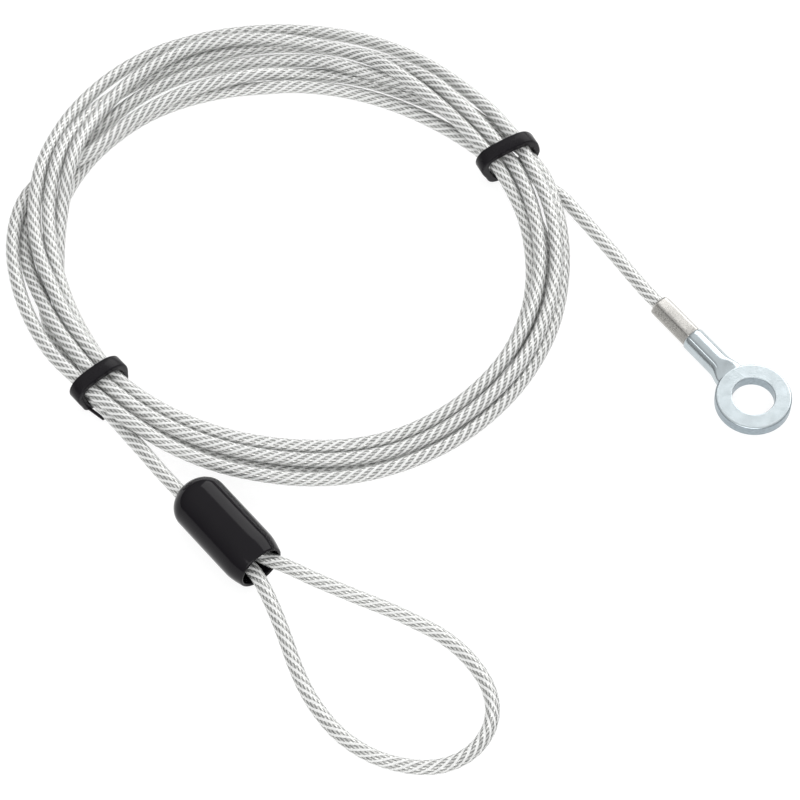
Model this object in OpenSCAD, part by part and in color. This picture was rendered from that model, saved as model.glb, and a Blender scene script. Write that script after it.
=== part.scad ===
// Security cable for a bicycle lock: a coiled, clear-jacketed steel wire rope.
// One end has a crimped ring terminal. The other end is turned back into a
// loop, held by a double-bore ferrule under a sliding plastic cover. Two
// plastic ties hold the coil.
//
// Origin: centre of the eyelet's bore, on the underside of its plate.
// +Z runs up along that bore. The cable lies on a surface at z = floor_z.

/* [Cable] */
// Outer diameter of the jacketed cable
cable_d = 3.6; // [3.2:0.1:3.8]
// Diameter of the bare wire rope, where the jacket is stripped
rope_d = 3.1; // [2.6:0.1:3.1]

/* [Ring terminal] */
// Outer diameter of the eyelet's plate
eyelet_d = 18.7; // [17:0.1:20]
// Bore of the eyelet, a clearance hole for an M10 bolt
eyelet_bore = 10.5; // [8:0.1:11]
// Thickness of the eyelet's plate
plate_t = 3.2; // [2.5:0.1:4]
// Outer diameter of the barrel behind the eyelet
barrel_d = 6.2; // [5.6:0.1:6.6]
// Distance from the bore's axis to the end of the barrel
barrel_end = 22.5; // [20:0.5:25]
// Distance from the bore's axis to the end of the hexagonal crimp
crimp_end = 35; // [32:0.5:38]
// Direction in which the barrel leaves the eyelet, in degrees
stem_angle = 128; // [126:130]

/* [Ferrule and cover] */
// Length of the ferrule that closes the loop
ferrule_l = 14; // [12:0.5:15]
// Wall of the ferrule round its two bores
ferrule_wall = 1.3; // [1:0.1:1.3]
// Outer diameter of the cover
cover_d = 14; // [13.8:0.1:14.4]
// Length of the cover
cover_l = 28.5; // [27:0.5:30]
// Outer diameter of the cover's open mouth
mouth_d = 12.2; // [12.2:0.1:13]
// Wall of the cover
cover_wall = 0.9; // [0.8:0.1:0.9]

/* [Ties] */
// Width of each tie's band
band_w = 3.0; // [2.5:0.1:3.2]
// Thickness of each tie's band
band_t = 1.1; // [0.9:0.1:1.2]

/* [Hidden] */
$fn = 48;
floor_z = -(barrel_d - plate_t) / 2;
plate_chamfer = 0.4;
rope_depth = 8;
sides = 8;

// The stem's slope from the plate up to the full barrel
slope_start = 9;
slope_end = 12.5;
// Keeps the stem's side view just outside the round barrel
profile_slack = 0.05;

// The ferrule's own axes: X forward to the loop, Y to the left, Z above the floor
sleeve_pos = [-127.4, -38];
sleeve_angle = -50;
run_h = 7;
run_y = 1.85;
ferrule_back = -7.5;
ferrule_front = ferrule_back + ferrule_l;
cover_back = -14.2;
cover_front = cover_back + cover_l;
dome_l = 5.8;
taper_l = 5;
cover_hole = cable_d + 0.6;
tail_overrun = 1;

// The coil and its ties
coil_pos = [-113.2, 42.3];
band_hx = 7;
band_hz = 5.7;
band_r = 5.4;
head_d = 4.4;
head_w = 4;
head_pos = [-5.6, -2.8, 0];

// The coil's inner and outer radius at chosen angles, waisted at the two ties
coil_inner = [
    [0, 59], [20, 57], [36, 57], [48, 54.5], [75, 52], [105, 53], [135, 56], [160, 57.5],
    [180, 56], [195, 54.5], [212, 54], [228, 54], [245, 52.5], [270, 54], [300, 57],
    [330, 59.5], [360, 59]
];
coil_outer = [
    [0, 69.5], [20, 67.6], [36, 67.6], [48, 69.5], [75, 71.5], [105, 73.5], [135, 73.5],
    [160, 71], [180, 70], [195, 68.5], [212, 64.4], [228, 64.4], [245, 65.5], [258, 66.5],
    [285, 69.5], [300, 70.3], [330, 70.3], [360, 69.5]
];
// Underside and top of the coil above the floor: lifted where it passes through the ties
coil_bottom = [
    [0, 0.4], [20, 2], [36, 2], [60, 0], [180, 0], [212, 2], [228, 2], [250, 0], [330, 0], [360, 0.4]
];
coil_top = [
    [0, 8.6], [20, 9.4], [36, 9.4], [60, 8], [180, 8], [212, 9.4], [228, 9.4], [250, 8], [330, 8],
    [360, 8.6]
];
coil_step = 6;

// Route of the loop from the ferrule's front face and back to it, in the ferrule's axes
loop_route = [
    [6.5, -1.85, 7], [11, -1.85, 7], [15, -2, 7], [20, -3.1, 6.8], [26, -4.9, 6.2],
    [32, -7, 5.3], [38, -9.2, 4.2], [44, -10.9, 3.1], [50, -11.8, 2.3], [56, -11.9, 1.8],
    [62, -11, 1.8], [67.5, -9, 1.8], [72, -6.2, 1.8], [75.8, -2.8, 1.8], [78.6, 1.3, 1.8],
    [80, 6, 1.8], [79.8, 11, 1.8], [77.8, 16, 1.8], [74, 20, 1.8], [69, 22.4, 1.8],
    [63.5, 23.4, 1.8], [58, 23.4, 1.8], [52.5, 22.3, 2.1], [46.5, 19.9, 2.7],
    [40.5, 16.9, 3.7], [34.5, 13.4, 4.8], [28.5, 10, 5.9], [23, 7.2, 6.6],
    [18.5, 5.2, 7], [14.5, 3.3, 7], [11, 1.85, 7], [6.5, 1.85, 7]
];

// Route of the standing lead from the ferrule's back face to the coil, in the ferrule's axes
sleeve_route = [
    [-7.5, -1.85, 7], [-14.5, -1.85, 7], [-21.5, -1.85, 7], [-25, -1.7, 6.9],
    [-28.5, -1.45, 6.7], [-32, -1.15, 6.1], [-35.5, -0.8, 5.2], [-38.5, -0.5, 4.5]
];

// Route of the terminal's lead from the crimp to the coil: along the stem, left of it, height
stem_route = [
    [35, 0, 3.1], [40, 0, 3.1], [46, -0.5, 2.4], [52, -0.9, 1.9], [58, -1, 1.8],
    [64, -1, 1.8], [70, -1, 1.8], [76, -1, 1.9]
];

// ---------- helpers ----------

// Along the barrel: the child's +Z points away from the eyelet
module along_stem() {
    translate([0, 0, plate_t / 2])
        rotate([0, 0, stem_angle])
            rotate([0, 90, 0])
                children();
}

// The ferrule's axes, with heights above the floor
module at_sleeve() {
    translate([sleeve_pos[0], sleeve_pos[1], floor_z])
        rotate([0, 0, sleeve_angle])
            children();
}

// Along one of the ferrule's bores: the child's +Z points forward to the loop
module along_run(y) {
    at_sleeve()
        translate([0, y, run_h])
            rotate([0, 90, 0])
                children();
}

// The plane of a tie: the child's X is radial and its Y is up
module at_tie(angle, radius) {
    translate([coil_pos[0], coil_pos[1], floor_z + band_hz])
        rotate([0, 0, angle])
            translate([radius, 0, 0])
                rotate([90, 0, 0])
                    children();
}

module rounded_box(half_x, half_y, r) {
    square([2 * half_x, 2 * (half_y - r)], center = true);
    square([2 * (half_x - r), 2 * half_y], center = true);
    for (sx = [-1, 1], sy = [-1, 1])
        translate([sx * (half_x - r), sy * (half_y - r)])
            circle(r = r);
}

function unit(v) = v / norm(v);
function tangent(p, i) = unit(p[min(i + 1, len(p) - 1)] - p[max(i - 1, 0)]);
function side(t) = unit(cross([0, 0, 1], t));
function ring(p, i, r) =
    let (t = tangent(p, i), s = side(t), u = cross(t, s))
    [for (k = [0 : sides - 1]) p[i] + r * (cos(360 * k / sides) * s + sin(360 * k / sides) * u)];

// A round tube whose rings stand on the route's own points
module sweep(route, d) {
    n = len(route);
    points = [for (i = [0 : n - 1]) each ring(route, i, d / 2)];
    walls = [
        for (i = [0 : n - 2], k = [0 : sides - 1])
            let (a = i * sides + k, b = i * sides + (k + 1) % sides)
            [a, a + sides, b + sides, b]
    ];
    first_cap = [for (k = [0 : sides - 1]) k];
    last_cap = [for (k = [sides - 1 : -1 : 0]) (n - 1) * sides + k];
    polyhedron(points = points, faces = concat([first_cap], walls, [last_cap]), convexity = 6);
}

// ---------- the eyelet end ----------

module plate_solid() {
    r = eyelet_d / 2;
    c = plate_chamfer;
    rotate_extrude()
        polygon([[0, 0], [r - c, 0], [r, c], [r, plate_t - c], [r - c, plate_t], [0, plate_t]]);
}

// Side view of the stem: plate thickness at the eyelet, full height at the barrel
module stem_profile() {
    p = plate_t / 2;
    b = barrel_d / 2 + profile_slack;
    polygon([
        [6, -p], [slope_start, -p], [slope_end, -b], [barrel_end, -b],
        [barrel_end, b], [slope_end, b], [slope_start, p], [6, p]
    ]);
}

module ring_terminal() {
    color("silver")
        difference() {
            union() {
                plate_solid();
                intersection() {
                    along_stem()
                        cylinder(d = barrel_d, h = barrel_end);
                    translate([0, 0, plate_t / 2])
                        rotate([0, 0, stem_angle])
                            rotate([90, 0, 0])
                                linear_extrude(barrel_d + 2, center = true)
                                    stem_profile();
                }
            }
            translate([0, 0, -1])
                cylinder(d = eyelet_bore, h = plate_t + 2);
            along_stem()
                translate([0, 0, barrel_end - rope_depth])
                    cylinder(d = rope_d, h = rope_depth + 1);
        }
}

module crimp_sleeve() {
    color("gray")
        along_stem()
            difference() {
                translate([0, 0, barrel_end])
                    rotate([0, 0, 30])
                        cylinder(d = barrel_d, h = crimp_end - barrel_end, $fn = 6);
                translate([0, 0, barrel_end - 1])
                    cylinder(d = rope_d, h = crimp_end - barrel_end + 2);
            }
}

module rope_end() {
    color("lightgray")
        along_stem()
            translate([0, 0, barrel_end - rope_depth])
                cylinder(d = rope_d, h = crimp_end - barrel_end + rope_depth);
}

module terminal_lead() {
    color("whitesmoke")
        translate([0, 0, floor_z])
            rotate([0, 0, stem_angle])
                sweep(stem_route, cable_d);
}

// ---------- the coil ----------

// Cross-section of the coil at an angle: a box with cut corners
function coil_section(a) =
    let (i = lookup(a, coil_inner), o = lookup(a, coil_outer))
    let (b = lookup(a, coil_bottom), t = lookup(a, coil_top), c = cable_d / 2)
    [[i + c, b], [o - c, b], [o, b + c], [o, t - c], [o - c, t], [i + c, t], [i, t - c], [i, b + c]];

module cable_coil() {
    n = 360 / coil_step;
    m = 8;
    points = [
        for (k = [0 : n - 1], q = coil_section(k * coil_step))
            [q[0] * cos(k * coil_step), q[0] * sin(k * coil_step), q[1]]
    ];
    faces = [
        for (k = [0 : n - 1], j = [0 : m - 1])
            let (a = k * m, b = ((k + 1) % n) * m, j2 = (j + 1) % m)
            [a + j, a + j2, b + j2, b + j]
    ];
    color("gainsboro")
        translate([coil_pos[0], coil_pos[1], floor_z])
            polyhedron(points = points, faces = faces, convexity = 6);
}

module band() {
    linear_extrude(band_w, center = true)
        rounded_box(band_hx, band_hz, band_r);
}

// The opening that the cable fills
module band_opening() {
    linear_extrude(2 * head_w, center = true)
        rounded_box(band_hx - band_t, band_hz - band_t, band_r - band_t);
}

module right_tie() {
    color("black")
        at_tie(27.6, 62.3)
            difference() {
                union() {
                    band();
                    translate(head_pos)
                        cylinder(d = head_d, h = head_w, center = true);
                }
                band_opening();
            }
}

module left_tie() {
    color("black")
        at_tie(220, 59.2)
            difference() {
                band();
                band_opening();
            }
}

// ---------- the loop end ----------

module sleeve_lead() {
    color("whitesmoke")
        at_sleeve()
            sweep(sleeve_route, cable_d);
}

module standing_run() {
    color("whitesmoke")
        along_run(-run_y)
            translate([0, 0, ferrule_back])
                cylinder(d = cable_d, h = ferrule_l);
}

module tail_run() {
    color("whitesmoke")
        along_run(run_y)
            translate([0, 0, ferrule_back - tail_overrun])
                cylinder(d = cable_d, h = ferrule_l + tail_overrun);
}

module cable_loop() {
    color("whitesmoke")
        at_sleeve()
            sweep(loop_route, cable_d);
}

module loop_ferrule() {
    r = cable_d / 2 + ferrule_wall;
    color("darkgray")
        difference() {
            along_run(0)
                translate([0, 0, ferrule_back])
                    rotate([0, 0, 90])
                        linear_extrude(ferrule_l)
                            union() {
                                square([2 * run_y, 2 * r], center = true);
                                for (s = [-1, 1])
                                    translate([s * run_y, 0])
                                        circle(r = r);
                            }
            for (s = [-1, 1])
                along_run(s * run_y)
                    translate([0, 0, ferrule_back - 1])
                        cylinder(d = cable_d, h = ferrule_l + 2);
        }
}

// Half of the cover's outline, shrunk by a wall: an elliptic dome, a straight side, a taper
function cover_outline(shrink) =
    let (r = cover_d / 2 - shrink, m = mouth_d / 2 - shrink, x = cover_back + dome_l, d = dome_l - shrink)
    concat(
        [for (a = [0 : 10 : 90]) [r * sin(a), x - d * cos(a)]],
        [[r, cover_front - taper_l], [(r + 2 * m) / 3, cover_front - taper_l / 4], [m, cover_front]]
    );

module ferrule_cover() {
    outer = cover_outline(0);
    inner = cover_outline(cover_wall);
    inside = [for (i = [len(inner) - 1 : -1 : 0]) inner[i]];
    color("#1c1b1f")
        difference() {
            along_run(0)
                rotate_extrude()
                    polygon(concat(outer, inside));
            along_run(-run_y)
                translate([0, 0, cover_back - 1])
                    cylinder(d = cover_hole, h = dome_l);
        }
}

ring_terminal();
crimp_sleeve();
rope_end();
terminal_lead();
cable_coil();
sleeve_lead();
standing_run();
tail_run();
cable_loop();
loop_ferrule();
ferrule_cover();
left_tie();
right_tie();
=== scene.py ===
import math

import bmesh
import bpy
import numpy as np
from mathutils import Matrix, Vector


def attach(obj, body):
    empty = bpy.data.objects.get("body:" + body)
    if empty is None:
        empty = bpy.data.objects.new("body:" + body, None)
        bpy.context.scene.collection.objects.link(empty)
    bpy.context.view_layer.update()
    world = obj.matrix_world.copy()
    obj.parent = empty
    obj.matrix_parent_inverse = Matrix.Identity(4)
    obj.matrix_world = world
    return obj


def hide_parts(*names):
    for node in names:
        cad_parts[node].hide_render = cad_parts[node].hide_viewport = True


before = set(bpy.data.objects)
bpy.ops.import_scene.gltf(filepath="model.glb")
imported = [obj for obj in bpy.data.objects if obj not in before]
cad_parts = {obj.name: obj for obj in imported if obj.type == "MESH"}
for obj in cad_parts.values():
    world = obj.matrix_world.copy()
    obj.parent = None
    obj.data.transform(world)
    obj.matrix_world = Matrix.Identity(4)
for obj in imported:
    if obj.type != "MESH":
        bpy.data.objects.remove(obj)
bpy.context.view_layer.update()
scene = bpy.context.scene

# ---------- places, in millimetres; heights are above the floor ----------

FLOOR_Z = -1.5
CABLE_R = 1.8
COIL = (-113.2, 42.3)
SEEN_H = 3
SLEEVE = (-127.4, -38.0)
SLEEVE_ANGLE = math.radians(-50)
STEM_ANGLE = math.radians(128)
RUN_H = 7.0
RUN_Y = 1.85
MM = 0.001
CAMERA_ELEVATION = math.radians(58)
CAMERA_DISTANCE = 0.805
CAMERA_LENS = 148.5
UP = np.array([0, 0, 1])


def sleeve_point(x, y, h):
    """A point in the ferrule's axes: x forward to the loop, y to its left."""
    c, s = math.cos(SLEEVE_ANGLE), math.sin(SLEEVE_ANGLE)
    return (SLEEVE[0] + c * x - s * y, SLEEVE[1] + s * x + c * y, h + FLOOR_Z)


def stem_point(x, y, h):
    """A point in the terminal's axes: x away from the eyelet, y to its left."""
    c, s = math.cos(STEM_ANGLE), math.sin(STEM_ANGLE)
    return (c * x - s * y, s * x + c * y, h + FLOOR_Z)


def coil_point(angle, seen_radius, h):
    """A point of the coil. Its radius is given as seen from the camera against a plane SEEN_H up."""
    a = math.radians(angle)
    r = seen_radius - (h - SEEN_H) / math.tan(CAMERA_ELEVATION) * math.sin(a)
    return (COIL[0] + r * math.cos(a), COIL[1] + r * math.sin(a), h + FLOOR_Z)


# ---------- camera ----------

target = Vector((-0.08575, 0.001805, -0.0015))
away = Vector((0, math.cos(CAMERA_ELEVATION), -math.sin(CAMERA_ELEVATION)))
camera = bpy.data.objects.new("camera", bpy.data.cameras.new("camera"))
scene.collection.objects.link(camera)
camera.location = target - away * CAMERA_DISTANCE
camera.rotation_euler = (math.pi / 2 - CAMERA_ELEVATION, 0, 0)
camera.data.lens = CAMERA_LENS
camera.data.sensor_width = 36
camera.data.clip_start = 0.01
camera.data.clip_end = 10
scene.camera = camera

# ---------- the cable's route ----------

# From the crimp to the right tie, in the terminal's axes
STEM_ROUTE = [
    (33, 0, 3.1), (36.5, 0, 3.1), (40, -0.05, 3), (46, -0.6, 2.5), (52, -1.3, 2), (58, -1.75, 1.8),
    (64, -2.1, 1.8), (70, -2.4, 1.8), (75, -2.6, 1.8),
]

# Each half turn of the coil: angle in degrees, radius as seen, height. The upper half runs
# from the right tie to the left tie and the lower half from the left to the right.
UPPER_TURNS = [
    [(19, 68.6, 2.3), (24, 65.9, 3.3), (28, 63.8, 3.3), (33, 62.2, 2.6), (40, 61.1, 1.9), (50, 60.1, 1.8),
     (58, 58.8, 1.8), (65, 58.3, 1.8), (72, 58.1, 1.8), (80, 57.9, 1.8), (87, 57.5, 1.8), (94, 57.1, 2.4),
     (100, 57, 4), (106, 57.2, 5), (112, 57.5, 5.4), (120, 57.9, 5.5), (130, 58.3, 5.5), (140, 59, 5.4),
     (147, 59.6, 5.4), (152, 61.4, 5.4), (157, 64.2, 5.5), (161, 66.8, 5.4), (165, 68.6, 4.8),
     (170, 69.3, 4.5), (175, 69, 4.4), (181, 68.4, 4.8), (190, 67.3, 5.4), (200, 65.7, 6.4),
     (210, 64, 7.2)],
    [(24, 66.8, 4.9), (28, 66.4, 4.5), (34, 65.4, 4.5), (42, 63.6, 4.8), (50, 62, 5), (58, 60.9, 5),
     (66, 60.2, 5), (74, 60.1, 4.8), (82, 60.4, 4.2), (90, 61, 3), (97, 61.7, 2), (104, 62.2, 1.8),
     (112, 62.8, 1.8), (120, 63.4, 1.8), (130, 63.6, 1.8), (140, 63.5, 1.8), (147, 64.1, 1.8),
     (154, 65.2, 1.8), (160, 66.3, 1.8), (166, 67.2, 1.8), (172, 67.5, 2.2), (178, 66.8, 3.2),
     (184, 65.3, 4.4), (190, 63.4, 5.6), (195, 62, 6.4), (200, 60.8, 7), (205, 59.8, 7.3),
     (211, 58.8, 7.4)],
    [(28, 66.9, 7.3), (35, 66.7, 7), (45, 67.4, 6), (55, 68.6, 4.6), (65, 69.8, 3), (75, 70.7, 2),
     (90, 71.4, 1.8), (100, 72.1, 1.8), (110, 72.9, 1.8), (120, 73.6, 2), (130, 73.2, 2.8), (140, 72, 4),
     (148, 70.6, 5.2), (155, 69.2, 7), (162, 67.3, 8.4), (168, 65.6, 8), (174, 64, 7.2), (180, 62.2, 7),
     (186, 60.5, 7.6), (192, 58.9, 8), (200, 57.4, 7.8), (210, 55.9, 7.3)],
    [(28, 62.4, 7.5), (35, 62.5, 7.6), (45, 63.1, 8.3), (52, 63.8, 8.2), (60, 64.9, 7), (67, 65.4, 5),
     (74, 65.8, 2.8), (80, 66, 1.9), (90, 66.3, 1.8), (100, 66.6, 1.8), (110, 66.9, 1.8),
     (120, 67.4, 1.8), (130, 68, 2), (138, 68.3, 3.4), (146, 67.9, 5.6), (152, 66.7, 7.8),
     (158, 64.9, 8.8), (164, 63.2, 8), (170, 61.7, 7), (176, 60.2, 6.6), (182, 58.8, 5.8),
     (190, 57.3, 4.9), (200, 56.2, 4), (210, 55.6, 3.5)],
    [(28, 58.7, 7.4), (35, 58.7, 7.2), (42, 59, 7.6), (50, 59.9, 8.2), (58, 61.2, 8.5), (65, 62.6, 8.4),
     (72, 64.2, 7.2), (78, 65.3, 5.8), (85, 66.5, 5.3), (95, 68.1, 5.1), (104, 69.5, 4.9),
     (112, 70.1, 4.8), (120, 69.5, 5), (130, 68.2, 5.2), (140, 66.1, 5.8), (148, 64.4, 7.6),
     (155, 62.8, 8.8), (161, 61.3, 8.4), (167, 59.9, 6.4), (173, 58.9, 5), (180, 58.2, 3.6),
     (188, 58.3, 2.2), (196, 58.9, 1.8), (205, 59.1, 2.4), (213, 59.1, 3)],
    [(28, 59.1, 3.3), (35, 57.8, 2.2), (40, 56.8, 1.8), (45, 55.9, 1.8), (50, 55.1, 1.8), (55, 54.5, 1.8),
     (65, 53.7, 1.8), (75, 53.3, 1.8), (85, 53.3, 1.8), (92, 53.5, 1.8), (100, 53.9, 1.8),
     (106, 54.4, 1.8), (112, 55, 1.8), (120, 56.1, 1.8), (126, 57, 1.8), (132, 57.8, 1.8),
     (140, 58.6, 1.8), (148, 59.4, 1.8), (155, 59.9, 1.8), (165, 60.4, 1.8), (175, 61.1, 1.8),
     (185, 61.7, 1.8), (195, 62.3, 1.9), (205, 62.5, 2.5), (213, 62.4, 3.1)],
]
LOWER_TURNS = [
    [(216, 62.6, 7.3), (225, 61.4, 7.6), (232, 61.3, 8.1), (239, 61.6, 7.6), (247, 62.1, 6.5),
     (255, 62.8, 5.8), (265, 63.7, 5.4), (275, 64.9, 5.2), (285, 66, 5), (295, 66.7, 4.6), (305, 67.2, 4),
     (315, 67.5, 3.4), (325, 67.8, 2.8), (335, 68, 2.4), (345, 68.1, 2.4), (355, 68.1, 3.4),
     (364, 68.1, 4.6), (373, 68.1, 5.4), (380, 67.8, 5)],
    [(216, 58.3, 7.4), (225, 57.5, 7.3), (235, 57.2, 6.8), (245, 57.2, 6.2), (255, 57.7, 5.8),
     (265, 58.6, 5.4), (275, 59.8, 5.4), (285, 61.2, 5.4), (295, 62.5, 5.4), (305, 63.4, 5.4),
     (315, 64.1, 5.4), (325, 64.8, 5.4), (335, 65.4, 5.4), (345, 65.9, 5.8), (355, 66.2, 6.6),
     (365, 66.4, 7.8), (375, 66.4, 8.4), (382, 66.4, 8)],
    [(216, 55.4, 7.1), (225, 54.9, 6.2), (235, 54.3, 5.5), (245, 54.1, 5.4), (255, 54.3, 5.4),
     (265, 54.8, 5.4), (275, 55.8, 5.4), (285, 57.3, 5.4), (295, 58.7, 5.4), (305, 59.6, 5.4),
     (315, 60.3, 5.4), (325, 60.9, 5.4), (335, 61.5, 5.4), (345, 62, 5.6), (355, 62.2, 6),
     (365, 62.3, 6.8), (375, 62.4, 7.3), (382, 62.5, 7.4)],
    [(217, 55.8, 3.4), (225, 56.2, 2.6), (240, 56.5, 1.8), (255, 57, 1.8), (270, 57.6, 1.8),
     (285, 58.7, 1.8), (300, 59.8, 1.8), (315, 60.7, 1.8), (330, 61.3, 1.8), (345, 61.5, 1.8),
     (352, 61, 2), (361, 60.3, 2.8), (370, 59.8, 4), (377, 59.3, 5.4), (383, 58.9, 6.6)],
    [(219, 59.3, 3.2), (225, 59.6, 2.6), (235, 59.9, 1.9), (245, 60.3, 2.2), (255, 60.9, 2.7),
     (265, 61.7, 2.9), (275, 62.7, 2.8), (285, 63.7, 2.3), (295, 64.4, 1.8), (310, 64.8, 1.8),
     (330, 64.9, 1.8), (350, 64.6, 1.8), (365, 63.6, 1.8), (375, 61.8, 2.1), (382, 60.2, 2.8)],
]

# From the left tie to the ferrule's back face, round the loop and back through
# the ferrule, in the ferrule's axes
SLEEVE_ROUTE = [
    (-47, 0, 3.4), (-42.5, -0.2, 3.7), (-38.5, -0.5, 4.5), (-35.5, -0.8, 5.2), (-32, -1.15, 6.1),
    (-28.5, -1.45, 6.7), (-25, -1.7, 6.9), (-21.5, -1.85, 7), (-14.5, -1.85, 7), (-7.5, -1.85, 7),
    (-0.5, -1.85, 7),
]
LOOP_ROUTE = [
    (6.5, -1.85, 7), (11, -1.85, 7), (15, -2, 7), (20, -3.1, 6.8), (26, -4.9, 6.2), (32, -7, 5.3),
    (38, -9.2, 4.2), (44, -10.9, 3.1), (50, -11.8, 2.3), (56, -11.9, 1.8), (62, -11, 1.8),
    (67.5, -9, 1.8), (72, -6.2, 1.8), (75.8, -2.8, 1.8), (78.6, 1.3, 1.8), (80, 6, 1.8), (79.8, 11, 1.8),
    (77.8, 16, 1.8), (74, 20, 1.8), (69, 22.4, 1.8), (63.5, 23.4, 1.8), (58, 23.4, 1.8),
    (52.5, 22.3, 2.1), (46.5, 19.9, 2.7), (40.5, 16.9, 3.7), (34.5, 13.4, 4.8), (28.5, 10, 5.9),
    (23, 7.2, 6.6), (18.5, 5.2, 7), (14.5, 3.3, 7), (11, 1.85, 7), (6.5, 1.85, 7), (-1, 1.85, 7),
    (-8.5, 1.85, 7),
]


def smooth_rows(keys, rows, at):
    """Rows at given keys, on a smooth curve through all of them."""
    keys, rows, at = np.asarray(keys, float), np.asarray(rows, float), np.asarray(at, float)
    step = np.diff(keys)[:, None]
    chord = np.diff(rows, axis=0) / step
    slope = np.empty_like(rows)
    slope[1:-1] = (chord[:-1] * step[1:] + chord[1:] * step[:-1]) / (step[1:] + step[:-1])
    slope[0], slope[-1] = chord[0], chord[-1]
    i = np.clip(np.searchsorted(keys, at, side="right") - 1, 0, len(keys) - 2)
    w = step[i]
    t = ((at - keys[i])[:, None]) / w
    return (
        (2 * t**3 - 3 * t**2 + 1) * rows[i]
        + (t**3 - 2 * t**2 + t) * w * slope[i]
        + (3 * t**2 - 2 * t**3) * rows[i + 1]
        + (t**3 - t**2) * w * slope[i + 1]
    )


def along(points):
    """The length of the way from the first point to each point."""
    steps = np.linalg.norm(np.diff(points, axis=0), axis=1)
    return np.concatenate([[0], np.cumsum(steps)])


def resample(points, spacing):
    """Points at an even spacing on the smooth curve through the given ones."""
    length = along(points)
    n = int(round(length[-1] / spacing)) + 1
    return smooth_rows(length, points, np.linspace(0, length[-1], n))


def coil_route(step=3):
    """The turns in order, as points every few degrees."""
    keys, rows = [], []
    for turn, upper in enumerate(UPPER_TURNS):
        lower = LOWER_TURNS[turn] if turn < len(LOWER_TURNS) else []
        for angle, radius, height in upper + lower:
            keys.append(360 * turn + angle)
            rows.append((radius, height))
    at = np.arange(keys[0], keys[-1] + 0.1, step)
    return [coil_point(a, r, h) for a, (r, h) in zip(at, smooth_rows(keys, rows, at))]


SETTLE_SPACING = 1.25
SETTLE_GAP = 0.03
SETTLE_ROUNDS = 160
SMOOTH_ROUNDS = 135
SEARCH_EVERY = 12
SEARCH_BLOCK = 200
NEIGHBOURS = 6
SEARCH_BEYOND = 1.2
PUSH = 0.28
RELAX = 0.993
HELD_START = 12
HELD_END = 210
RELEASE = 30


def near_pairs(points, reach):
    """Pairs of points nearer than a reach that aren't neighbours along the cable."""
    found = []
    for first in range(0, len(points), SEARCH_BLOCK):
        block = points[first : first + SEARCH_BLOCK]
        gap = np.linalg.norm(block[:, None] - points[None], axis=2)
        a, b = np.nonzero(gap < reach)
        a = a + first
        keep = b - a > NEIGHBOURS
        found.append(np.stack([a[keep], b[keep]], 1))
    return np.concatenate(found)


def soften(shift):
    """Halves the difference between each point's shift and its neighbours' mean."""
    mean = 0.5 * (shift[:-2] + shift[2:])
    shift[1:-1] += 0.5 * (mean - shift[1:-1])


def settle(points):
    """Presses touching turns apart until they lie beside or on each other, about a diameter away.

    The cable's two ends are held: the first HELD_START mm and the last HELD_END mm stay in place.
    """
    start = resample(points, SETTLE_SPACING)
    length = along(start)
    free = np.clip((length - HELD_START) / RELEASE, 0, 1)
    free *= np.clip((length[-1] - HELD_END - length) / RELEASE, 0, 1)
    shift = np.zeros_like(start)
    apart = 2 * CABLE_R + SETTLE_GAP
    lowest = FLOOR_Z + CABLE_R
    for k in range(SETTLE_ROUNDS):
        now = start + shift
        if k % SEARCH_EVERY == 0:
            pairs = near_pairs(now, apart + SEARCH_BEYOND)
        a, b = pairs[:, 0], pairs[:, 1]
        between = now[b] - now[a]
        gap = np.linalg.norm(between, axis=1)
        push = np.clip(apart - gap, 0, None)[:, None] * between / np.maximum(gap, 1e-6)[:, None] * PUSH
        move = np.zeros_like(now)
        np.add.at(move, a, -push)
        np.add.at(move, b, push)
        shift += move * free[:, None]
        shift[:, 2] = np.maximum(shift[:, 2], lowest - start[:, 2])
        if k < SMOOTH_ROUNDS:
            soften(shift)
            shift *= RELAX
        elif k % 3 == 0:
            soften(shift)
    return start + shift


control = (
    [stem_point(*p) for p in STEM_ROUTE]
    + coil_route()
    + [sleeve_point(*p) for p in SLEEVE_ROUTE + LOOP_ROUTE]
)
ROUTE_SPACING = 0.5
route = resample(settle(np.array(control)), ROUTE_SPACING)


def frames(points):
    """Directions across a route that turn with it as little as possible."""
    t = np.gradient(points, axis=0)
    t /= np.linalg.norm(t, axis=1)[:, None]
    normal = np.empty_like(points)
    n = np.cross(t[0], (0, 0, 1))
    n = np.cross(n, t[0])
    n /= np.linalg.norm(n)
    normal[0] = n
    for i in range(1, len(points)):
        n = n - t[i] * np.dot(n, t[i])
        n /= np.linalg.norm(n)
        normal[i] = n
    return normal, np.cross(t, normal)


normal, binormal = frames(route)


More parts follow.
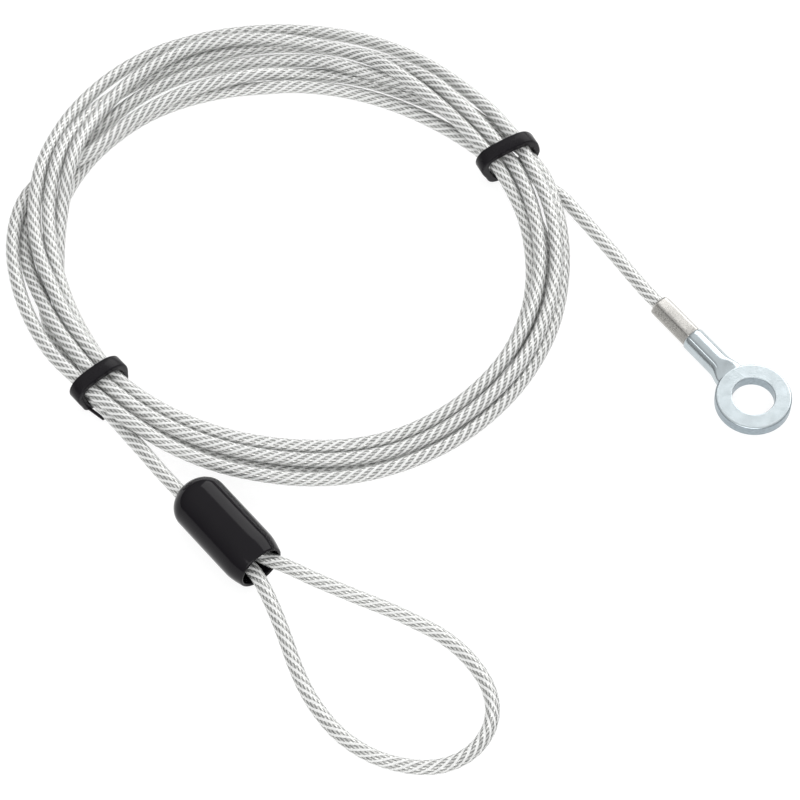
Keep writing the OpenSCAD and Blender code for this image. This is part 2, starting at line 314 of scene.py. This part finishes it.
def tube_mesh(name, rings, joined=False, phase=None):
    """A tube from an array of rings (ring, corner, xyz in millimetres), with its ends capped or joined.

    The phase is kept for the material: how many wires have gone by at each ring, and the wires in a strand.
    """
    n, m = rings.shape[:2]
    mesh = bpy.data.meshes.new(name)
    mesh.vertices.add(n * m)
    mesh.vertices.foreach_set("co", (rings.reshape(-1, 3) * MM).astype(np.float32).ravel())
    spans = n if joined else n - 1
    i = np.arange(spans)[:, None]
    j = (i + 1) % n
    k = np.arange(m)[None]
    k2 = (k + 1) % m
    quads = np.stack([i * m + k, i * m + k2, j * m + k2, j * m + k], axis=-1).reshape(-1, 4)
    loops = quads.ravel()
    starts = np.arange(len(quads)) * 4
    totals = np.full(len(quads), 4)
    if not joined:
        first = np.arange(m)[::-1]
        last = (n - 1) * m + np.arange(m)
        starts = np.concatenate([starts, [len(loops), len(loops) + m]])
        totals = np.concatenate([totals, [m, m]])
        loops = np.concatenate([loops, first, last])
    mesh.loops.add(len(loops))
    mesh.loops.foreach_set("vertex_index", loops.astype(np.int32))
    mesh.polygons.add(len(starts))
    mesh.polygons.foreach_set("loop_start", starts.astype(np.int32))
    mesh.polygons.foreach_set("loop_total", totals.astype(np.int32))
    mesh.polygons.foreach_set("use_smooth", np.ones(len(starts), bool))
    mesh.update(calc_edges=True)
    if phase is not None:
        corner = phase[1] * np.stack([k, k + 1, k + 1, k], axis=-1) / m
        run = np.stack([phase[0][i], phase[0][i], phase[0][j], phase[0][j]], axis=-1)
        values = np.zeros(len(loops), np.float32)
        values[: len(quads) * 4] = (corner - run).ravel()
        mesh.attributes.new("wire_phase", "FLOAT", "CORNER").data.foreach_set("value", values)
    obj = bpy.data.objects.new(name, mesh)
    scene.collection.objects.link(obj)
    return obj


def round_rings(points, across, up, radius, sides):
    """Round rings of one radius along a route."""
    a = np.linspace(0, 2 * math.pi, sides, endpoint=False)
    ring = np.cos(a)[None, :, None] * across[:, None] + np.sin(a)[None, :, None] * up[:, None]
    return points[:, None] + radius * ring


# ---------- materials ----------


def material(name):
    """A material with an empty node tree."""
    m = bpy.data.materials.new(name)
    m.use_nodes = True
    m.node_tree.nodes.clear()
    return m


class Nodes:
    """Small helper for building a material's nodes."""

    def __init__(self, tree):
        self.tree = tree

    def add(self, kind, **inputs):
        """A node with its inputs set or linked. An underscore stands for a space in an input's name."""
        node = self.tree.nodes.new(kind)
        for key, value in inputs.items():
            key = key.replace("_", " ")
            if hasattr(value, "links"):
                self.tree.links.new(value, node.inputs[key])
            else:
                node.inputs[key].default_value = value
        return node

    def link(self, a, b):
        self.tree.links.new(a, b)

    def ranged(self, value, low, high, to_low, to_high):
        """A value carried from one range to another."""
        node = self.add(
            "ShaderNodeMapRange", Value=value, From_Min=low, From_Max=high, To_Min=to_low, To_Max=to_high
        )
        return node.outputs["Result"]

    def scaled(self, colour, scale):
        """A colour times a factor."""
        node = self.tree.nodes.new("ShaderNodeVectorMath")
        node.operation = "SCALE"
        if hasattr(colour, "links"):
            self.link(colour, node.inputs[0])
        else:
            node.inputs[0].default_value = colour
        self.link(scale, node.inputs["Scale"])
        return node.outputs["Vector"]

    def worked_out(self, operation, value, other=None):
        """An operation on a value and, where it takes two, a number."""
        node = self.tree.nodes.new("ShaderNodeMath")
        node.operation = operation
        self.link(value, node.inputs[0])
        if other is not None:
            node.inputs[1].default_value = other
        return node.outputs[0]


def principled(name, base, roughness, metallic=0.0, variation=0.0, scale=400, rough_variation=0.0,
               bump=0.0, bump_scale=2000, specular=0.5):
    """A Principled material whose colour, roughness and surface vary with noise."""
    m = material(name)
    n = Nodes(m.node_tree)
    out = n.add("ShaderNodeOutputMaterial")
    b = n.add("ShaderNodeBsdfPrincipled")
    b.inputs["Metallic"].default_value = metallic
    b.inputs["Specular IOR Level"].default_value = specular
    coords = n.add("ShaderNodeTexCoord").outputs["Object"]
    noise = n.add("ShaderNodeTexNoise", Vector=coords, Scale=scale, Detail=4.0, Roughness=0.6).outputs["Fac"]
    shade = n.ranged(noise, 0.3, 0.7, 1 - variation, 1 + variation)
    n.link(n.scaled(base, shade), b.inputs["Base Color"])
    dullest = max(0.02, roughness - rough_variation)
    n.link(n.ranged(noise, 0.3, 0.7, dullest, roughness + rough_variation), b.inputs["Roughness"])
    if bump:
        fine = n.add("ShaderNodeTexNoise", Vector=coords, Scale=bump_scale, Detail=3.0).outputs["Fac"]
        bumped = n.add("ShaderNodeBump", Strength=bump, Distance=0.0001, Height=fine)
        n.link(bumped.outputs["Normal"], b.inputs["Normal"])
    n.link(b.outputs["BSDF"], out.inputs["Surface"])
    return m


zinc = principled("zinc_plate", (0.5, 0.555, 0.58), 0.23, 1.0, 0.05, 300, 0.04, 0.1, 3000)
# Darker, duller zinc for the eye's upright faces: painted shade
upright_painted_shade = principled("zinc_cut_edge", (0.33, 0.385, 0.42), 0.34, 1.0, 0.2, 1400, 0.08, 0.3, 3000)
crimped = principled("crimped_steel", (0.45, 0.44, 0.42), 0.3, 1.0, 0.12, 1800, 0.08, 0.16, 3500)
steel = principled("bare_steel", (0.4, 0.41, 0.415), 0.4, 1.0, 0.35, 2600, 0.1, 0.6, 3500)


def wire_steel():
    """Twisted steel wires: a painted highlight along each wire's crest and painted shade in the gap to the
    next.
    """
    m = principled("wire_steel", (0.47, 0.47, 0.455), 0.36, 0.9, 0.55, 2900, 0.08, 0.4, 3500)
    n = Nodes(m.node_tree)
    b = next(x for x in m.node_tree.nodes if x.type == "BSDF_PRINCIPLED")
    noisy = b.inputs["Base Color"].links[0].from_socket
    phase = n.add("ShaderNodeAttribute")
    phase.attribute_name = "wire_phase"
    wave = n.worked_out("COSINE", n.worked_out("MULTIPLY", phase.outputs["Fac"], 2 * math.pi))
    # The wire phase lightens each crest as painted highlight and darkens each gap between wires as painted
    # shade.
    crest_highlight_gap_shade = n.ranged(wave, -1, 0.8, 0.36, 1.4)
    n.link(n.scaled(noisy, crest_highlight_gap_shade), b.inputs["Base Color"])
    return m


strand_steel = wire_steel()
# Jacket plastic in the grooves between strands, made white as a painted highlight of the lines between
# strands
groove_filler_painted_highlight = principled("groove_jacket_and_painted_highlight", (0.86, 0.86, 0.85), 0.25, 0.0, 0.05, 1500, 0.05)
aluminium = principled("pressed_aluminium", (0.78, 0.78, 0.77), 0.35, 1.0, 0.06, 600, 0.06, 0.3, 1500)
cover_black = principled("glossy_black", (0.009, 0.008, 0.01), 0.12, 0.0, 0.05, 200, 0.02, 0.05, 900, 0.14)
tie_black = principled("satin_black", (0.009, 0.008, 0.01), 0.28, 0.0, 0.08, 400, 0.04, 0.15, 1500, 0.14)


def clear_jacket():
    """Clear soft plastic: mostly see-through, a little milky, with a soft gloss."""
    m = material("clear_jacket")
    n = Nodes(m.node_tree)
    out = n.add("ShaderNodeOutputMaterial")
    b = n.add("ShaderNodeBsdfPrincipled", Base_Color=(0.86, 0.88, 0.88, 1), Roughness=0.14)
    clear = n.add("ShaderNodeBsdfTransparent")
    mix = n.add("ShaderNodeMixShader", Fac=0.14)
    n.link(clear.outputs["BSDF"], mix.inputs[1])
    n.link(b.outputs["BSDF"], mix.inputs[2])
    n.link(mix.outputs["Shader"], out.inputs["Surface"])
    return m


jacket_clear = clear_jacket()


def finish_with(obj, mat, body="cable", nodes=()):
    """Gives a piece its material and body, and hides the CAD nodes that it replaces."""
    obj.data.materials.clear()
    obj.data.materials.append(mat)
    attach(obj, body)
    if nodes:
        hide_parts(*nodes)
    return obj


# ---------- the cable ----------

JACKET_SIDES = 16
GROOVE_R = 1.63
GROOVE_SIDES = 18
STRANDS = 6
WIRES = 6
LAY = 16.6
WIRE_LAY = 5.5
STRAND_SIDES = 14
STRAND_AT = 1.17
STRAND_WIDE = 0.7
STRAND_DEEP = 0.54

jacket_route = route[::2]
jacket_rings = round_rings(jacket_route, normal[::2], binormal[::2], CABLE_R, JACKET_SIDES)
jacket = tube_mesh("cable_jacket", jacket_rings)
finish_with(
    jacket, jacket_clear, "cable",
    ("terminal_lead", "cable_coil", "sleeve_lead", "standing_run", "tail_run", "cable_loop"),
)

# A white tube under the strands shows in their grooves: jacket plastic, made white as painted highlight
groove_rings = round_rings(route[::3], normal[::3], binormal[::3], GROOVE_R, GROOVE_SIDES)
filler = tube_mesh("groove_filler", groove_rings)
finish_with(filler, groove_filler_painted_highlight, "cable")

place = along(route)
for k in range(STRANDS):
    turn = -2 * math.pi * place / LAY + k * 2 * math.pi / STRANDS
    out = np.cos(turn)[:, None] * normal + np.sin(turn)[:, None] * binormal
    around = -np.sin(turn)[:, None] * normal + np.cos(turn)[:, None] * binormal
    centre = route + STRAND_AT * out
    a = np.linspace(0, 2 * math.pi, STRAND_SIDES, endpoint=False)[None]
    rings = (
        centre[:, None]
        + STRAND_WIDE * np.sin(a)[..., None] * around[:, None]
        + STRAND_DEEP * np.cos(a)[..., None] * out[:, None]
    )
    strand = tube_mesh("rope_strand_%d" % (k + 1), rings, phase=(WIRES * place / WIRE_LAY, WIRES))
    finish_with(strand, strand_steel, "cable")

# ---------- the ferrule's cover ----------

COVER_SIDES = 72
COVER_R = 7.0
COVER_BACK = -14.2
COVER_FRONT = 14.3
COVER_WALL = 0.9
DOME = 5.8
DOME_FLAT = 0.9
TAPER = 5.0
TAPER_CURVE = 1.6
MOUTH_R = 6.1
HOLE_R = 2.1


def cover_rings():
    """Rings of the cover in the ferrule's axes, from its back hole out, over the lip and back inside."""
    a = np.linspace(0, 2 * math.pi, COVER_SIDES, endpoint=False)
    inner_r = COVER_R - COVER_WALL
    shoulder = COVER_BACK + DOME
    bend = COVER_FRONT - TAPER
    lip = COVER_FRONT - COVER_WALL / 2

    def cap_ring(s, shrink):
        """From the off-centre hole (s 0) to a ring round the dome's axis (s 1)."""
        r, d = COVER_R - shrink, DOME - shrink
        y = (1 - s) * (HOLE_R * np.cos(a) - RUN_Y) + s * r * DOME_FLAT * np.cos(a)
        z = (1 - s) * HOLE_R * np.sin(a) + s * r * DOME_FLAT * np.sin(a)
        x = shoulder - d * np.sqrt(1 - (y**2 + z**2) / r**2)
        return np.stack([x, y, z], axis=-1)

    def plain_ring(x, r):
        return np.stack([np.full_like(a, x), r * np.cos(a), r * np.sin(a)], axis=-1)

    def dome_ring(angle, shrink):
        t = math.radians(angle)
        return plain_ring(shoulder - (DOME - shrink) * math.cos(t), (COVER_R - shrink) * math.sin(t))

    def taper_ring(t, shrink):
        return plain_ring(bend + (lip - bend) * t, COVER_R - shrink - (COVER_R - MOUTH_R) * t**TAPER_CURVE)

    def lip_ring(angle):
        t = math.radians(angle)
        half = COVER_WALL / 2
        return plain_ring(lip + half * math.sin(t), MOUTH_R - half + half * math.cos(t))

    cap_edge = math.degrees(math.asin(DOME_FLAT))
    rings = [cap_ring(s, 0) for s in np.linspace(0, 1, 9)]
    rings += [dome_ring(angle, 0) for angle in np.linspace(cap_edge, 90, 8)[1:]]
    rings += [plain_ring(bend - back, COVER_R) for back in (12, 6, 1.5)]
    rings += [taper_ring(t, 0) for t in np.linspace(0, 1, 8)[1:]]
    rings += [lip_ring(angle) for angle in (30, 60, 90, 120, 150)]
    rings += [taper_ring(t, COVER_WALL) for t in np.linspace(1, 0, 8)[:-1]]
    rings += [plain_ring(bend, inner_r), plain_ring(shoulder, inner_r)]
    rings += [dome_ring(angle, COVER_WALL) for angle in np.linspace(90, cap_edge, 6)[1:-1]]
    rings += [cap_ring(s, COVER_WALL) for s in np.linspace(1, 0, 6)]
    return np.array(rings)


def placed(rings, place_point, height):
    """Rings given as x, y and height over an axis, moved to where a place function puts them."""
    flat = rings.reshape(-1, 3)
    return np.array([place_point(x, y, z + height) for x, y, z in flat]).reshape(rings.shape)


cover = tube_mesh("end_cover", placed(cover_rings(), sleeve_point, RUN_H)[:, ::-1], joined=True)
finish_with(cover, cover_black, "cover", ("ferrule_cover",))

# ---------- ties ----------

BAND_W = 3.7
BAND_T = 1.1
BAND_EDGE = 0.3
BAND_POINTS = 120
THIN_UNDERNEATH = 0.55
BULGE = 0.8
BULGE_ACROSS = 0.75
BULGE_UP = -0.66
HELD_BEYOND = 0.2
BUNDLE_REACH = 12
FLOOR_GAP = 0.05
SLACK = 0.12
OVAL_R = 3.95
OVAL_WIDER = 1.3
OVAL_HIGHER = 0.2
TAIL_START = (5.9, 0.5)
TAIL_END = (4.9, 6.4)
TAIL_H = 1.1
TAIL_HALF_WIDE = 0.6
TAIL_HALF_THICK = 0.4


def softened(values):
    """Half of each value and a quarter of each neighbour, round a closed loop."""
    return 0.5 * values + 0.25 * (np.roll(values, 1, axis=0) + np.roll(values, -1, axis=0))


def band_inside(centres, middle, step=2):
    """The inside of a band, as evenly spaced points (across, up).

    It goes round both the cables at the given centres and an oval as high as the middle.
    """
    phi = np.radians(np.arange(0, 360, step))
    n = np.stack([np.cos(phi), np.sin(phi)], axis=-1)
    round_cables = (centres @ n.T).max(axis=0) + CABLE_R + SLACK
    oval = n @ np.array([0, middle]) + OVAL_WIDER * np.abs(n[:, 0]) + OVAL_HIGHER * np.abs(n[:, 1]) + OVAL_R
    reach = np.maximum(round_cables, oval)
    for k in range(14):
        reach = np.maximum(reach, softened(reach))
    slope = (np.roll(reach, -1) - np.roll(reach, 1)) / (2 * math.radians(step))
    across = np.stack([-np.sin(phi), np.cos(phi)], axis=-1)
    inner = reach[:, None] * n + slope[:, None] * across
    inner[:, 1] = np.maximum(inner[:, 1], THIN_UNDERNEATH * BAND_T + FLOOR_GAP)
    closed = np.concatenate([inner, inner[:1]])
    length = along(closed)
    at = np.linspace(0, length[-1], BAND_POINTS + 1)[:-1]
    inner = np.stack([np.interp(at, length, closed[:, c]) for c in range(2)], axis=-1)
    for k in range(4):
        inner = softened(inner)
    return inner


def band_section():
    """A rectangle with rounded corners: along the cable, out from the band's inside."""
    c = BAND_EDGE
    half = BAND_W / 2
    middles = ((half - c, BAND_T - c), (-half + c, BAND_T - c), (-half + c, c), (half - c, c))
    points = []
    for quarter, (x, y) in enumerate(middles):
        for angle in (0, 30, 60, 90):
            q = math.radians(90 * quarter + angle)
            points.append((x + c * math.cos(q), y + c * math.sin(q)))
    return points


def tie(angle, radius, middle, bulge_side):
    """Rings of a band round the turns where they cross its plane, and its axes.

    It is thinner underneath and thicker on top, and bulges low down on one side (1 outward, -1 inward).
    """
    t = math.radians(angle)
    u = np.array([math.cos(t), math.sin(t), 0])
    w = np.array([-math.sin(t), math.cos(t), 0])
    origin = np.array([COIL[0], COIL[1], FLOOR_Z]) + radius * u
    local = route - origin
    held = (np.abs(local @ w) < BAND_W / 2 + HELD_BEYOND) & (np.abs(local @ u) < BUNDLE_REACH)
    inner = band_inside(np.stack([local[held] @ u, local[held, 2]], axis=-1), middle)
    way = np.roll(inner, -1, axis=0) - np.roll(inner, 1, axis=0)
    way /= np.linalg.norm(way, axis=1)[:, None]
    outward = np.stack([way[:, 1], -way[:, 0]], axis=-1)
    bulge_way = np.array([BULGE_ACROSS * bulge_side, BULGE_UP])
    section = band_section()
    rings = []
    for point, direction in zip(inner, outward):
        ring = []
        thicker = np.interp(point[1], (0.8, 2.5, 4, 8), (THIN_UNDERNEATH, 1, 1, 1.75))
        thicker += BULGE / BAND_T * max(direction @ bulge_way, 0) ** 3
        for wide, high in section:
            spot = point + high * thicker * direction
            spot[1] = max(spot[1], FLOOR_GAP)
            ring.append(origin + spot[0] * u + spot[1] * UP + wide * w)
        rings.append(ring)
    return np.array(rings), origin, u, w


def tail_rings(origin, u, w, sides=12):
    """Rings of the strap's thin tail, from inside the band to its narrower end."""
    rings = []
    for t in np.linspace(0, 1, 12):
        half = TAIL_HALF_WIDE * (1 - max(0, t - 0.8) * 1.5)
        out = TAIL_START[0] + t * (TAIL_END[0] - TAIL_START[0])
        ahead = TAIL_START[1] + t * (TAIL_END[1] - TAIL_START[1])
        spot = origin + out * u + ahead * w
        angles = [2 * math.pi * k / sides for k in range(sides)]
        rings.append(
            [spot + TAIL_HALF_THICK * math.cos(q) * u + UP * (TAIL_H + half * math.sin(q)) for q in angles]
        )
    return np.array(rings)


def merge(name, parts):
    """One piece from several closed shells."""
    first = parts[0]
    for other in parts[1:]:
        bm = bmesh.new()
        bm.from_mesh(first.data)
        bm.from_mesh(other.data)
        bm.to_mesh(first.data)
        bm.free()
        bpy.data.objects.remove(other)
    first.data.polygons.foreach_set("use_smooth", np.ones(len(first.data.polygons), bool))
    first.name = name
    return first


rings, origin, u, w = tie(27.4, 62.5, 5.2, -1)
right_band = tube_mesh("right_band", rings[:, ::-1], joined=True)
finish_with(right_band, tie_black, "cable", ("right_tie",))

rings, origin, u, w = tie(220.7, 59.2, 5.3, 1)
band = tube_mesh("band", rings[:, ::-1], joined=True)
left_band = merge("left_band", [band, tube_mesh("tail", tail_rings(origin, u, w))])
finish_with(left_band, tie_black, "cable", ("left_tie",))

# ---------- the eyelet terminal and its crimp ----------

EYE_SIDES = 160
EYE_R = 9.35
BORE_R = 5.25
PLATE = 3.2
BARREL_R = 3.1
BARREL_SIDES = 96
BARREL_END = 22.5
BARREL_STATIONS = (
    6.6, 8.2, 8.9, 9.5, 10.1, 10.7, 11.3, 11.9, 12.4, 12.9, 13.6, 14.6, 16, 18, 20, 21.5, 22.3, BARREL_END,
)
FLAT_END = 8.7
FLAT_TO_ROUND = 4.0
SEAM_FROM = 10.5
SEAM_ANGLE = 58
SEAM_WIDE = 2.6
SEAM_DEEP = 0.2
CRIMP_END = 35.0


def eye_rings():
    """The washer-shaped eye, from its bore round the outside and back."""
    a = np.linspace(0, 2 * math.pi, EYE_SIDES, endpoint=False)
    c = 0.4
    low = [(BORE_R, 0.25), (BORE_R, 0.15), (BORE_R + 0.05, 0.05), (BORE_R + 0.15, 0), (BORE_R + 0.25, 0)]
    low += [(EYE_R - c - 0.12, 0), (EYE_R - c, 0), (EYE_R - 0.14, 0.14), (EYE_R, c), (EYE_R, c + 0.12)]
    outline = low + [(r, PLATE - z) for r, z in reversed(low)]
    rings = [np.stack([r * np.cos(a), r * np.sin(a), np.full_like(a, z)], axis=-1) for r, z in outline]
    return np.array(rings)


def barrel_rings():
    """The barrel, from flat where it leaves the eye to round at the crimp, with the seam on top."""
    a = np.linspace(0, 2 * math.pi, BARREL_SIDES, endpoint=False)
    c, s = np.cos(a), np.sin(a)
    rings = []
    for x in BARREL_STATIONS:
        t = min(max((x - FLAT_END) / FLAT_TO_ROUND, 0), 1)
        t = t * t * (3 - 2 * t)
        high = PLATE / 2 - 0.02 + (BARREL_R - PLATE / 2) * t
        wide = BARREL_R + 0.75 * (1 - t)
        power = 0.45 + 0.55 * t
        if x == BARREL_END:
            high, wide = high - 0.15, wide - 0.15
        y = wide * np.sign(c) * np.abs(c) ** power
        z = high * np.sign(s) * np.abs(s) ** power
        if x > SEAM_FROM:
            z = z - SEAM_DEEP * np.exp(-(((np.degrees(a) - SEAM_ANGLE) / SEAM_WIDE) ** 2))
        rings.append(np.stack([np.full_like(a, x), y, z], axis=-1))
    return np.array(rings)


def hexagon_ring(x, r):
    """A hexagon with worn corners, across the crimp's axis."""
    corners = [r * np.array([math.cos(k * math.pi / 3), math.sin(k * math.pi / 3)]) for k in range(6)]

    def on_side(corner, other, t):
        worn = 0.004 if t < 0.1 else 0
        return corner * (1 - worn) + (other - corner) * t * 0.98

    ring = []
    for k, corner in enumerate(corners):
        before, after = corners[k - 1], corners[(k + 1) % 6]
        ring += [on_side(corner, before, t) for t in (0.5, 0.2, 0.07)]
        ring.append(corner * 0.975)
        ring += [on_side(corner, after, t) for t in (0.07, 0.2)]
    return [(x, y, z) for y, z in ring]


def crimp_rings():
    """A six-sided sleeve with two corners level, with worn edges and ends."""
    near_end = [(BARREL_END - 0.1, 0.3), (BARREL_END + 0.05, 0.08), (BARREL_END + 0.3, 0)]
    far_end = [(CRIMP_END - 0.6, 0), (CRIMP_END - 0.2, 0.1), (CRIMP_END, 0.35)]
    between = [(x, 0) for x in (25, 28, 31)]
    return np.array([hexagon_ring(x, BARREL_R - shrink) for x, shrink in near_end + between + far_end])


def eyelet_point(x, y, h):
    return (x, y, h + FLOOR_Z)


plate_low = (2 * BARREL_R - PLATE) / 2
eye = tube_mesh("eye", placed(eye_rings(), eyelet_point, plate_low), joined=True)
barrel = tube_mesh("barrel", placed(barrel_rings(), stem_point, BARREL_R))
eye_faces = len(eye.data.polygons)
terminal = merge("eyelet_terminal", [eye, barrel])
terminal.data.set_sharp_from_angle(angle=math.radians(38))
finish_with(terminal, zinc, "cable", ("ring_terminal",))
terminal.data.materials.append(upright_painted_shade)
# The eye's upright faces, its bore and its rim, get a darker zinc as painted shade
for face in terminal.data.polygons[:eye_faces]:
    face.material_index = 1 if abs(face.normal.z) < 0.5 else 0

crimp = tube_mesh("hex_crimp", placed(crimp_rings(), stem_point, BARREL_R))
crimp.data.set_sharp_from_angle(angle=math.radians(40))
finish_with(crimp, crimped, "cable", ("crimp_sleeve",))

# ---------- CAD pieces that keep their own shape ----------

for name, mat in (("rope_end", steel), ("loop_ferrule", aluminium)):
    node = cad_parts[name]
    node.data.materials.clear()
    node.data.materials.append(mat)

# ---------- floor, light ----------

FLOOR_BELOW = 0.00002
bpy.ops.mesh.primitive_plane_add(size=4, location=(-0.08, 0, FLOOR_Z * MM - FLOOR_BELOW))
floor = bpy.context.object
floor.name = "floor"
white = principled("pale_floor", (0.22, 0.22, 0.22), 0.6, 0.0, 0.0)
glow = next(n for n in white.node_tree.nodes if n.type == "BSDF_PRINCIPLED")
glow.inputs["Emission Color"].default_value = (1, 1, 1, 1)
glow.inputs["Emission Strength"].default_value = 0.85
floor.data.materials.append(white)

world = bpy.data.worlds.new("world")
scene.world = world
world.use_nodes = True
sky = Nodes(world.node_tree)
world.node_tree.nodes["Background"].inputs["Color"].default_value = (1, 1, 1, 1)
direction = sky.add("ShaderNodeSeparateXYZ")
sky.link(sky.add("ShaderNodeTexCoord").outputs["Generated"], direction.inputs[0])
brightness = sky.ranged(direction.outputs["Z"], 0, 0.85, 0.12, 0.92)
sky.link(brightness, world.node_tree.nodes["Background"].inputs["Strength"])


def area(name, location, aim, size, power):
    """A rectangular light, in metres and watts, turned to a point."""
    light = bpy.data.lights.new(name, "AREA")
    light.shape = "RECTANGLE"
    light.size, light.size_y = size
    light.energy = power
    obj = bpy.data.objects.new(name, light)
    scene.collection.objects.link(obj)
    obj.location = location
    obj.rotation_euler = (Vector(aim) - Vector(location)).to_track_quat("-Z", "Y").to_euler()


area("softbox", (0.41, 0.876, 0.61), (-0.1, 0, 0), (1.1, 0.95), 8)
area("front_fill", (-0.2, -0.9, 0.7), (-0.1, 0, 0), (1.0, 0.6), 4.5)

scene.view_settings.view_transform = "Standard"
scene.cycles.transparent_max_bounces = 16
